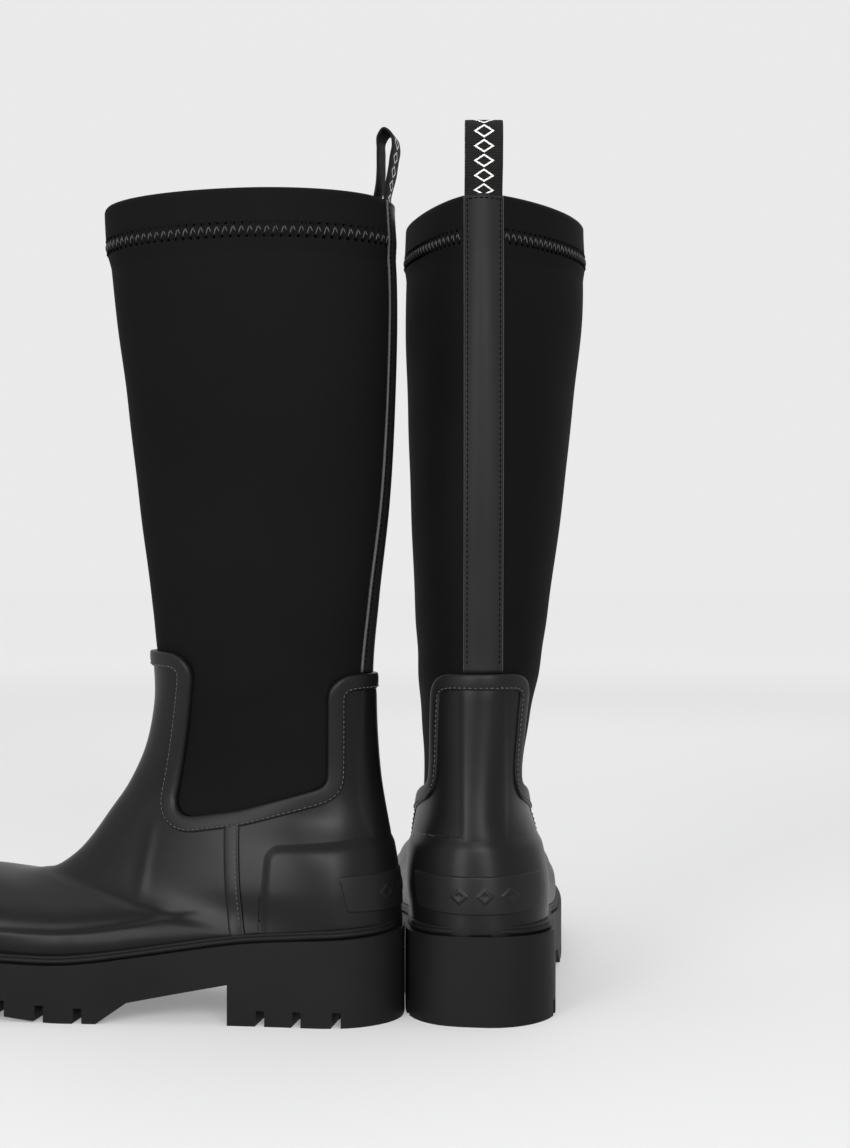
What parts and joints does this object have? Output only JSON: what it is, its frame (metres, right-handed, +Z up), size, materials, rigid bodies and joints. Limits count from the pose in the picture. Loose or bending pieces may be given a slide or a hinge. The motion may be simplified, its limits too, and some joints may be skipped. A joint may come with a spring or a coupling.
{
  "type": "tall rain boots",
  "caption": "Knee-high rain boots with a black neoprene shaft, a moulded rubber foot, a block-heeled lug sole and a webbing pull tab.",
  "frame": {"origin": "on the ground, under the middle of the pair's bounding box", "axes": "+Z up, +Y the way the right boot's toe points, +X to the right of the right boot; the left boot's toe points along -X, turned 10 degrees towards +Y"},
  "size_m": [0.3816, 0.2984, 0.441],
  "materials": {
    "neoprene": "black neoprene with a fine knit face, matt",
    "lining_knit": "black jersey lining",
    "foot_rubber": "black moulded rubber, satin, softly creased",
    "trim_rubber": "black rubber tape, satin",
    "sole_rubber": "black sole rubber, matt",
    "strip_leather": "dark grey smooth synthetic leather with cut edges",
    "webbing": "black woven webbing with a plain white woven pattern",
    "board": "stiff fibre board",
    "foam": "dense foam with a knit cover",
    "steel": "spring steel strip"
  },
  "bodies": {
    "left_boot": {"left_outsole": "sole_rubber", "left_welt": "sole_rubber", "left_vamp": "foot_rubber", "left_quarter": "foot_rubber", "left_seam_tapes": "foot_rubber", "left_binding": "trim_rubber", "left_heel_counter": "foot_rubber", "left_heel_patch": "trim_rubber", "left_shaft": "neoprene", "left_lining": "lining_knit", "left_collar_band": "neoprene", "left_back_strip": "strip_leather", "left_pull_tab_root": "webbing", "left_lasting_board": "board", "left_footbed": "foam", "left_shank": "steel", "left_toe_puff": "board"},
    "left_tab": {"left_pull_tab": "webbing"},
    "right_boot": {"right_outsole": "sole_rubber", "right_welt": "sole_rubber", "right_vamp": "foot_rubber", "right_quarter": "foot_rubber", "right_seam_tapes": "foot_rubber", "right_binding": "trim_rubber", "right_heel_counter": "foot_rubber", "right_heel_patch": "trim_rubber", "right_shaft": "neoprene", "right_lining": "lining_knit", "right_collar_band": "neoprene", "right_back_strip": "strip_leather", "right_pull_tab_root": "webbing", "right_lasting_board": "board", "right_footbed": "foam", "right_shank": "steel", "right_toe_puff": "board"},
    "right_tab": {"right_pull_tab": "webbing"}
  },
  "joints": [
    {"name": "right_boot_lift", "type": "slide", "parent": "left_boot", "child": "right_boot", "axis": [0, 0, 1], "range_m": [0, 0.45]},
    {"name": "left_pull_tab_flex", "type": "hinge", "parent": "left_boot", "child": "left_tab", "pos_m": [0.0858, -0.11089, 0.4068], "axis": [-0.1736, -0.9848, 0], "range_deg": [-75, 70], "stiffness_Nm_per_rad": 0.02},
    {"name": "right_pull_tab_flex", "type": "hinge", "parent": "right_boot", "child": "right_tab", "pos_m": [0.13418, -0.13209, 0.4068], "axis": [-1, 0, 0], "range_deg": [-75, 70], "stiffness_Nm_per_rad": 0.02}
  ]
}
